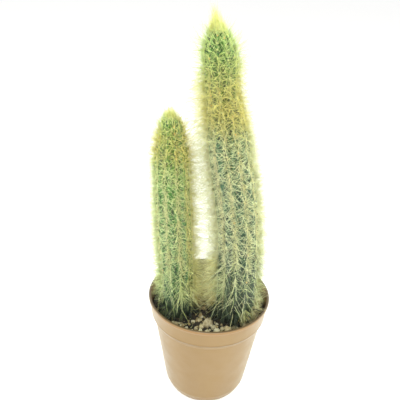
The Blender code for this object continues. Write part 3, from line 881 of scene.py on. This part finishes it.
def makeSpineMaterial():
    # horn: golden near the apex, pale when grown, dark when old, near black over the soil partly as painted shade,
    # darker and greener in the furrows as painted shade, and each spine a little different
    coat = Coat("goldenSpine", roughness=0.38)
    labels = ("age", "gold", "fresh", "rust", "furrow", "tint", "along", "shade")
    age, gold, fresh, rust, furrow, tint, along, shade = (coat.fact(label) for label in labels)
    stops = ((0.0, "apex"), (0.04, "young"), (0.12, "young"), (0.4, "grown"), (0.76, "grown"), (0.88, "aged"),
             (1.0, "old"))
    coat.ramp(age, *((position, spineColours[label]) for position, label in stops))
    onCrest = furrow.spread(0.0, 0.25, 0.7, 0.0) * age.spread(0.1, 0.25) * age.spread(0.65, 0.85, 1.0, 0.0)
    layers = (
        (fresh, "fresh"),
        # spines rooted in the furrows: painted shade
        (furrow * 0.45, "furrow"),
        (onCrest, "crest"),
        (gold, "golden"),
        (rust, "rust"),
        (tint.spread(0.86, 0.95, 0.0, 0.6), "brown"),
        ((tint * 7.0).then("FRACT").spread(0.5, 1.0, 0.0, 0.4), "dull"),
        (along.spread(0.0, 0.2, 0.4, 0.0), "root"),
        (shade, "tip"),
        (age.spread(1.1, 1.3), "oldest"),
    # near black right over the soil: partly dead spines, partly painted shade
    )
    for share, label in layers:
        coat.lay(share, spineColours[label])
    return coat.finish()


def makeFeltMaterial():
    coat = Coat("areoleFelt", roughness=0.95, sheenWeight=0.5, sheenRoughness=0.6)
    coat.colour = areole["felt"]
    coat.lay(coat.fact("age"), areole["feltOld"])
    coat.lay(coat.fact("tint").then("LESS_THAN", areole["brownShare"]), areole["feltBrown"])
    coat.lay(coat.grain(3000, 2).spread(0.35, 0.65, 0.35, 0.0), areole["feltDark"])
    coat.bump(coat.grain(4000, 2), 0.2 * mm)
    return coat.finish()


def ribPoint(stem, place, rib):
    # a point on a rib's crest, the way out of the stem there, and the way up the rib
    here, ahead = outlineAt(stem, [place, min(1.0, place + 0.004)])
    around = Vector((math.cos(math.tau * rib / stem["ribs"]), math.sin(math.tau * rib / stem["ribs"]), 0))
    point, further = (Vector((row[1], stemLine, row[0])) + around * row[2] for row in (here, ahead))
    up = (further - point).normalized()
    out = around.cross(Vector((0, 0, 1))).cross(up).normalized()
    return point, (out if out.dot(around) > 0 else -out), up


def pointsAlong(stem, pitch, jitter, rng):
    # a row of points up every rib's crest, each half a step from its neighbour's, closer together near the apex
    rows = rowsAlong(stem, pitch)
    (closerFrom, closerStep), (leanFrom, mostLean) = ribbing["closer"], ribbing["tipLean"]
    found = []
    for rib in range(stem["ribs"]):
        step = 1 + 0.5 * (rib % 2)
        while step / rows < ribbing["topRow"]:
            place = (step + rng.uniform(-jitter, jitter)) / rows
            point, out, up = ribPoint(stem, place, rib)
            if point.z > soilLevel + ribbing["bareFoot"]:
                facing = out.x * stem["inward"]
                lean = mostLean * max(0.0, (place - leanFrom) / (1 - leanFrom))
                found.append(SimpleNamespace(point=point, out=out, up=up, place=place, lean=lean, facing=facing))
            step += 1 if step / rows < closerFrom else closerStep
    return found


def goldAt(stem, spot):
    # the golden girdle below the tip, and a warmer or paler side towards the other stem
    girdle = float(np.interp(spot.place, *stem["golden"])) * (1 - stem["goldenSides"] * (1 - abs(spot.out.x)))
    return min(1.0, max(0.0, girdle + stem["goldenInside"] * max(0.0, spot.facing)))


def burstFacts(stem, found, lean=0.0):
    count = len(found)
    return {
        "out": [spot.out for spot in found],
        "up": [spot.up for spot in found],
        "lean": [spot.lean + lean for spot in found],
        "reach": [stem["spine"]] * count,
        "age": [1 - spot.place for spot in found],
        "gold": [goldAt(stem, spot) for spot in found],
        "fresh": [stem["fresh"]] * count,
        "rust": [0.0] * count,
        "keep": [1.0] * count,
    }


def tuftMesh(stem):
    # roots spread over the apex, whose spines all point at one place above it
    apex = outlineAt(stem, [1.0])[0]
    focus = Vector((apex[1] + stem["tuftFocus"][0], stemLine, apex[0] + stem["tuftFocus"][1]))
    roots, ways, reach = [], [], []
    count, lowest = stem["tuftRoots"]
    for index in range(count):
        share = (index + 0.5) / count
        row = outlineAt(stem, [1 - (1 - lowest) * math.sqrt(share)])[0]
        turn = index * goldenAngle
        root = Vector((row[1], stemLine, row[0])) + Vector((math.cos(turn), math.sin(turn), 0)) * row[2]
        roots.append(root)
        ways.append((focus - root).normalized())
        reach.append(stem["tuftLength"] * (1 - tuftShorter * share ** 0.5))
    return pointMesh(stem["name"] + "Tuft", roots, out=ways, up=[way.orthogonal().normalized() for way in ways],
                     lean=[0.0] * count, reach=reach, age=[0.0] * count, keep=[1.0] * count)


def growSpines(stem, trees, materials):
    rng = random.Random(stem["seed"])
    areoles = pointsAlong(stem, ribbing["areolePitch"], 0.08, rng)
    bursts = pointsAlong(stem, ribbing["burstPitch"], 0.4, rng)
    fringeLow, fringeTop = stem["fringe"]

    def between(low, high, leastFacing=-2.0, mostFacing=2.0, leastBack=-2.0, frontBelow=0.0):
        return [spot for spot in bursts if low < spot.place < high and leastFacing < spot.facing < mostFacing
                and (spot.out.y > leastBack or spot.place < frontBelow)]

    sources = {  # where each kind grows, and how it leans along the rib
        "radial": (bursts, 0.0),
        "net": (bursts, 0.0),
        "central": (bursts, 0.0),
        "old": (between(0.03, 0.3)[::stem["oldEvery"]], -1.5),
        "skirt": (between(0.0, 0.06), -1.0),
        "fringe": (between(fringeLow, fringeTop, mostFacing=0.2, leastBack=-0.4), 0.0),
        "strand": (between(0.12, 0.84, leastFacing=0.3, leastBack=-0.4, frontBelow=0.2), 0.0),
        "haze": (between(0.05, 0.24, leastFacing=0.5, leastBack=-0.35), 0.0),
        "cross": (between(stem["crossFrom"], 0.92), -0.3),
        "ridge": (bursts, 0.0),
    }
    made = 0
    for at, (kind, (found, lean)) in enumerate(sources.items()):
        facts = burstFacts(stem, found, lean)
        places = [spot.place for spot in found]
        if kind in thinnedKinds:
            facts["keep"] = np.interp(places, *stem["cover"])
        if kind == "haze":
            heights = [spot.point.z - soilLevel for spot in found]
            facts.update({label: np.interp(heights, *tones) for label, tones in hazeTones.items()})
            facts["age"][::7] = withered
        if kind == "fringe":  # it thins out towards its ends
            ends = (fringeLow, fringeLow + 0.12, fringeTop - 0.12, fringeTop)
            facts["keep"] = np.interp(places, ends, (0.1, 1.0, 1.0, 0.1))
        if kind == "old":
            facts["age"] = [stem["oldest"]] * len(found)
        if kind == "skirt":  # dark, partly as painted shade over the soil, and for two bursts in three drier on its outer side
            dry = [min(1.0, max(0.0, -2.0 * spot.facing)) * stem["drySide"] for spot in found]
            dry[::3] = [0.0] * len(dry[::3])
            facts["age"] = [rng.uniform(1.2, 1.4) - 0.46 * share for share in dry]
            facts["rust"] = [0.55 * share for share in dry]
        if kind == "cross":
            facts["age"] = [rng.choice((0.4, 0.85, 1.2)) if place < 0.3 else 1 - place for place in places]
        mesh = pointMesh(stem["name"] + kind.capitalize(), [spot.point for spot in found], **facts)
        made += growKind(stem, kind, mesh, trees["spines"], materials["spines"], at)
    made += growKind(stem, "tuft", tuftMesh(stem), trees["spines"], materials["spines"], tuftSeed)
    padded = [spot for spot in areoles if spot.place > areole["from"]]
    felt = pointMesh("felt", [spot.point for spot in padded], **burstFacts(stem, padded))
    felt = grow(stem["name"] + "_stem_areoles", felt, trees["felt"], radius=areole["radius"], height=areole["height"],
                lift=areole["lift"], seed=stem["seed"], felt=materials["felt"])
    fitPiece(felt, "areoles")
    print(stem["name"], "stem:", len(areoles), "areoles,", made, "spine faces")


def growKind(stem, kind, mesh, tree, material, at):
    values = dict(zip(spineFields, spineKinds[kind]))
    values["thickness"] *= mm
    values["rootSpread"] *= mm
    obj = grow(f"{stem['name']}_stem_{kind}_spines", mesh, tree, ribHalf=ribbing["half"],
               seed=stem["seed"] * 10 + at, spine=material, **spineLimits, **values)
    obj.data.shade_smooth()
    fitPiece(obj, "spines")
    print(obj.name, len(obj.data.polygons), "faces")
    return len(obj.data.polygons)


# Potting mix

mix = {
    "bump": 1.2 * mm,
    "bumpGrain": (90, 210),  # lumps to the metre, broad and small
    "crumb": 0.5 * mm,
    "crumbGrain": (620, 1300),
    "gap": 0.5 * mm,
    "wallSlope": 0.13,  # how far the pot's wall leans in with each metre down
    "flat": 6 * mm,
    "rings": 64,
    "steps": 150,
    "stoneCount": 32,
    "stoneSize": (1.7 * mm, 2.9 * mm),
    "frontStones": (  # x, y and radius in mm, and tint: the large one in the middle first
        (-0.8, -29.3, 5.2, 0.68), (-6.5, -39.0, 2.7, 0.9), (-1.0, -39.6, 2.5, 0.8), (-18.0, -36.6, 2.3, 0.95),
        (-13.0, -39.2, 2.0, 0.9), (7.0, -38.2, 3.0, 0.97), (16.0, -36.6, 4.1, 0.5), (29.6, -30.0, 2.9, 0.3),
        (-26.9, -31.0, 2.2, 0.7), (38.6, -20.6, 2.7, 0.4), (23.5, -34.6, 2.2, 0.2), (4.2, -34.2, 2.5, 0.15),
        (-5.6, -33.8, 2.7, 0.35), (-10.2, -36.0, 2.4, 0.65), (11.3, -35.0, 2.0, 0.3), (43.0, -6.0, 2.5, 0.6),
        (41.5, -13.0, 2.3, 0.85), (44.4, 1.0, 2.3, 0.5), (45.2, -9.6, 2.2, 0.9), (41.0, -17.4, 2.0, 0.95),
        (35.6, -25.4, 2.1, 0.85), (33.0, -29.4, 1.9, 0.5),
    ),
    "stoneRise": 0.2,  # a stone's middle stands this share of its radius over the soil
    "stonesFrom": 12 * mm,  # the others lie at least this far from the pot's axis
    "stonesIn": 1.5 * mm,  # this far in from its wall
    "bare": 5 * mm,  # and this far from the stems and from the ones in front
    "sharpAngle": 24,
    "soil": paint(36, 32, 22),
    "soilDark": paint(17, 16, 11),
    "soilPale": paint(72, 62, 42),
}

# What lies on the soil. Densities are per square metre, and clear is the bare margin round each stem's foot.
scatter = {
    "crumbs": {"density": 300000.0, "smallest": 0.4 * mm, "largest": 1.3 * mm, "flatness": 0.75, "rough": 0.5,
               "sink": 0.2, "clear": 1 * mm, "seed": 3},
    "pebbles": {"density": 60000.0, "smallest": 1.2 * mm, "largest": 2.6 * mm, "flatness": 0.75, "rough": 0.3,
                "sink": 0.35, "clear": 6 * mm, "seed": 14},
    "grit": {"density": 50000.0, "smallest": 0.5 * mm, "largest": 2.1 * mm, "flatness": 0.7, "rough": 0.35,
             "sink": 0.1, "clear": 6 * mm, "seed": 8},
}
# Shed spines: loose ones all over, a heap between the stems and behind them, and dry ones beside the tall stem.
# An area is its least and greatest x, then its least and greatest y, in mm.
straw = {
    "fallen_spines": {
        "area": (-60, 60, -60, 60), "density": 14000.0, "shortest": 5 * mm, "longest": 13 * mm, "thickness": 0.32 * mm,
        "rust": 0.0, "oldest": 1.0, "lift": 1.2 * mm, "clear": 5 * mm, "wallClear": rimRadius - 11 * mm, "seed": 21},
    "shed_golden_spines": {
        "area": (-15, 10, 4, 34), "density": 3000000.0, "shortest": 3 * mm, "longest": 8 * mm, "thickness": 0.4 * mm,
        "rust": 0.85, "oldest": 1.0, "lift": 3.0 * mm, "clear": 2 * mm, "wallClear": rimRadius - 11 * mm, "seed": 33},
    "dry_brown_spines": {
        "area": (34, 49, -24, 16), "density": 1200000.0, "shortest": 2.5 * mm, "longest": 5 * mm,
        "thickness": 0.45 * mm, "rust": 0.35, "oldest": 0.6, "lift": 4.0 * mm, "clear": 0.0,
        "wallClear": rimRadius - 6.665 * mm, "seed": 41},
}


def fromFoot(stem, x, y):
    return math.hypot(x - footX(stem), y - stemLine) - stumpRadius(stem)


def soilHeight(x, y):
    # broad lumps that die out round the stems, with fine crumb over them
    (broad, small), (coarse, fine) = mix["bumpGrain"], mix["crumbGrain"]
    lumps = noise.noise(Vector((x, y, 0)) * broad) + 0.6 * noise.noise(Vector((x, y, 0.1)) * small)
    nearest = min(fromFoot(stem, x, y) for stem in (tall, short))
    flat = min(1.0, max(0.0, nearest / mix["flat"]))
    crumb = noise.noise(Vector((x, y, 0.3)) * coarse) + 0.7 * noise.noise(Vector((x, y, 0.5)) * fine)
    return soilLevel + mix["bump"] * flat * lumps + mix["crumb"] * crumb


def soilEdge():
    return innerWall()[0][0] - mix["gap"] - (potHeight - soilLevel) * mix["wallSlope"]


def makeSoilMaterial():
    coat = Coat("dampSoil", roughness=0.9)
    coat.ramp(coat.grain(140, 5, 0.65), (0.32, mix["soilDark"]), (0.5, mix["soil"]), (0.7, mix["soilPale"]))
    coat.lay(coat.grain(1500, 3, 0.6).spread(0.58, 0.72) * 0.5, mix["soilPale"])
    coat.send(coat.grain(60, 2).spread(0.35, 0.65, 0.75, 0.98), "Roughness")
    coat.bump(coat.grain(1800, 4, 0.7), 0.5 * mm, 0.9)
    return coat.finish()


def makeGritMaterial():
    # each stone has its own tint: cream, tan, grey or rusty
    coat = Coat("paleGrit", roughness=0.8)
    coat.ramp(coat.fact("tint"), (0.0, paint(96, 92, 68)), (0.25, paint(146, 136, 96)), (0.5, paint(160, 138, 88)),
              (0.72, paint(122, 108, 72)), (0.85, paint(166, 160, 124)), (1.0, paint(188, 184, 152)))
    coat.lay(coat.grain(900, 4, 0.7).spread(0.4, 0.7, 0.0, 0.7), paint(80, 74, 50))
    coat.lay(coat.grain(420, 3, 0.6).spread(0.58, 0.62, 0.0, 0.3), paint(208, 202, 166))
    coat.lay(coat.fact("worn") * 0.35, paint(216, 210, 176))
    coat.bump(coat.grain(1400, 4, 0.7), 0.4 * mm, 0.8)
    return coat.finish()


def scatterOver(name, floats, material):
    # a tree that starts from points over the soil, clear of the stems and of the pot's wall
    g = Growth(name, floats + " density tallClear shortClear wallClear", "seed", material, "tallFoot shortFoot")
    given = g.given
    points = g.geo("DistributePointsOnFaces", mesh=given.geometry, density=given.density, seed=given.seed)
    nearTall = g.here.then("DISTANCE", given.tallFoot).then("LESS_THAN", given.tallClear)
    nearShort = g.here.then("DISTANCE", given.shortFoot).then("LESS_THAN", given.shortClear)
    x, y, z = g.split(g.here)
    nearWall = g.join(x=x, y=y).then("LENGTH").then("GREATER_THAN", given.wallClear)
    return g, given, g.geo("DeleteGeometry", geometry=points, selection=nearTall + nearShort + nearWall)


def makeScatterTree():
    g, given, points = scatterOver("scatteredGrit", "smallest largest flatness rough sink", "stone")
    # most are small
    size = (g.draw(0.0, 1.0, 1) ** 2.2).then("MULTIPLY_ADD", given.largest - given.smallest, given.smallest)
    points = g.store(points, size=size, tint=g.draw(0.0, 1.0, 2))
    big = g.named("size")
    turn = g.turned((-0.5, -0.5, 0.0), (0.5, 0.5, math.tau), 3)
    stones = g.copies(points, g.geo("MeshIcoSphere", radius=1.0, subdivisions=1), rotation=turn,
                      scale=g.join(x=big, y=big * g.draw(0.6, 1.0, 4), z=big * given.flatness))
    moved = g.lumps(800.0, 2.0, big * (given.rough * 2.5)) + g.join(z=big * given.sink)
    stones = g.geo("SetPosition", geometry=stones, offset=moved)
    return g.finish(stones, given.stone, "size")


leastLift = 0.9 * mm  # how far over the soil the lowest shed spines lie


def makeStrawTree():
    g, given, points = scatterOver("fallenSpines", "shortest longest thickness rust oldest lift", "spine")
    age = g.draw(given.oldest * 0.5, given.oldest, 2)
    points = g.store(points, tint=g.draw(0.0, 1.0, 1), age=age, rust=given.rust)
    points = g.geo("SetPosition", geometry=points, offset=g.join(z=g.draw(leastLift, given.lift, 5)))
    turn = g.turned((math.pi / 2 - 0.2, -0.2, 0.0), (math.pi / 2 + 0.1, 0.2, math.tau), 3)
    length = g.draw(given.shortest, given.longest, 4)
    spines = g.copies(points, g.needle(1, 0.1), rotation=turn,
                      scale=g.join(x=given.thickness, y=given.thickness, z=length))
    return g.finish(spines, given.spine)


stone = {
    "rough": 0.16,
    "large": 4 * mm,  # one over this size is rougher
    "largeRough": 1.7,
    "facetCuts": 3,
    "wornEdge": 0.16,  # its edges are pale over this share of its size
    "pitGrain": 700,
    "pitDepth": 0.12,
}


def stoneMesh(place, size, rng, tint):
    # the same rough twelve-cornered stone as the solid's, subdivided and weathered
    solid = bmesh.new()
    bmesh.ops.create_icosphere(solid, subdivisions=1, radius=1)
    stretch = Matrix.Diagonal((size, size * rng.uniform(0.7, 0.95), size * rng.uniform(0.65, 0.85)))
    turn = Matrix.Rotation(rng.uniform(0, math.tau), 3, "Z")
    turn = turn @ Matrix.Rotation(rng.uniform(-0.5, 0.5), 3, "X")
    for vert in solid.verts:
        shift = rng.uniform(-stone["rough"], stone["rough"]) * (stone["largeRough"] if size > stone["large"] else 1)
        rough = vert.co * (1 + shift)
        vert.co = turn @ stretch @ rough + place
    solid.normal_update()
    facets = [(face.normal.copy(), face.calc_center_median()) for face in solid.faces]
    bmesh.ops.subdivide_edges(solid, edges=solid.edges, cuts=stone["facetCuts"], use_grid_fill=True, smooth=0.12)
    solid.normal_update()
    worn = []
    for vert in solid.verts:  # how near it lies to the edge between two facets
        second = sorted(abs((vert.co - middle).dot(normal)) for normal, middle in facets)[1]
        worn.append(max(0.0, 1 - second / (stone["wornEdge"] * size)))
    moves = [vert.normal * noise.noise(vert.co * stone["pitGrain"]) * size * stone["pitDepth"] for vert in solid.verts]
    for vert, move in zip(solid.verts, moves):
        vert.co += move
    bmesh.ops.recalc_face_normals(solid, faces=solid.faces)
    mesh = bpy.data.meshes.new("stone")
    solid.to_mesh(mesh)
    solid.free()
    return addFacts(mesh, {"tint": [tint] * len(worn), "worn": worn})


def makeStones(material):
    rng = random.Random(5)
    tints = random.Random(17)
    front = [(x * mm, y * mm, size * mm, tint) for x, y, size, tint in mix["frontStones"]]
    stones = [stoneMesh(Vector((x, y, soilLevel + size * mix["stoneRise"])), size, rng, tint)
              for x, y, size, tint in front]
    inner, outer = mix["stonesFrom"], pot["wallRadiusTop"] - mix["stoneSize"][1] - mix["stonesIn"]
    for index in range(mix["stoneCount"]):
        reach = math.sqrt(inner**2 + (outer**2 - inner**2) * (index + 0.5) / mix["stoneCount"])
        x, y = math.cos(index * goldenAngle) * reach, math.sin(index * goldenAngle) * reach
        size = rng.uniform(*mix["stoneSize"])
        clear = min(*(math.hypot(x - frontX, y - frontY) - radius for frontX, frontY, radius, tint in front),
                    *(fromFoot(stem, x, y) for stem in (tall, short)))
        if clear > size + mix["bare"]:
            place = Vector((x, y, soilHeight(x, y) + size * mix["stoneRise"]))
            stones.append(stoneMesh(place, size, rng, tints.random()))
    whole = bmesh.new()
    for part in stones:
        whole.from_mesh(part)
        bpy.data.meshes.remove(part)
    mesh = bpy.data.meshes.new("soil_stones")
    whole.to_mesh(mesh)
    whole.free()
    mesh.materials.append(material)
    mesh.shade_smooth()
    mesh.set_sharp_from_angle(angle=math.radians(mix["sharpAngle"]))
    fitPiece(addObject("soil_stones", mesh), "grit")


def makeSoil(material):
    outside = [(radius - mix["gap"], height) for radius, height in innerWall()]
    edge = soilEdge()
    top = [(edge * ring / mix["rings"], soilLevel) for ring in range(mix["rings"])]
    corner = (outside[-1][0], outside[-1][1] + 0.3 * mm)
    side = [(edge, soilLevel), (edge - 0.2 * mm, soilLevel - 1.5 * mm), *outside[1:-1], corner, (0, corner[1])]
    soil = turned("potting_soil", [*top, *side], mix["steps"])
    for vert in soil.data.vertices:
        if abs(vert.co.z - soilLevel) < 0.01 * mm:
            vert.co.z = soilHeight(vert.co.x, vert.co.y)
    pointOutwards(soil.data)
    soil.data.materials.append(material)
    soil.data.shade_smooth()
    fitPiece(soil, "soil", "potting_mix")
    return soil


def strew(name, slotName, mesh, tree, settings, **more):
    # grows one thing over a part of the soil
    values = {key: value for key, value in settings.items() if key not in ("area", "clear")}
    for label, stem in (("tall", tall), ("short", short)):
        values[label + "Foot"] = (footX(stem), stemLine, soilLevel)
        values[label + "Clear"] = stumpRadius(stem) + settings["clear"]
    piece = grow(name, mesh, tree, **values, **more)
    fitPiece(piece, slotName)
    print(name, len(piece.data.polygons), "faces")


def makePottingMix(spineMaterial):
    soilMaterial, gritMaterial = makeSoilMaterial(), makeGritMaterial()
    soil = makeSoil(soilMaterial)
    surface = keepFaces("soilTop", soil.data, lambda face: face.normal.z >= 0.2
                        and face.calc_center_median().z >= soilLevel - 4 * mm)
    tree = makeScatterTree()
    for label, settings in scatter.items():
        material, slotName = (soilMaterial, "soil") if label == "crumbs" else (gritMaterial, "grit")
        strew("soil_" + label, slotName, surface.copy(), tree, settings, stone=material,
              wallClear=soilEdge() - 0.9 * settings["largest"])
    makeStones(gritMaterial)
    tree = makeStrawTree()
    for name, settings in straw.items():
        lowX, highX, lowY, highY = (value * mm for value in settings["area"])
        patch = keepFaces("soilPatch", surface, lambda face: lowX < face.calc_center_median().x < highX
                          and lowY < face.calc_center_median().y < highY)
        strew(name, "spines", patch, tree, settings, spine=spineMaterial)


placeCamera()
makeStudio()
print("studio and camera set")
makePot()
print("pot turned")
columnTree = makeColumnTree()
trees = {"spines": makeSpineTree(), "felt": makeFeltTree()}
materials = {"spines": makeSpineMaterial(), "felt": makeFeltMaterial()}
for stem in (tall, short):
    makeColumn(stem, columnTree)
    growSpines(stem, trees, materials)
makePottingMix(materials["spines"])
print("potting mix laid")
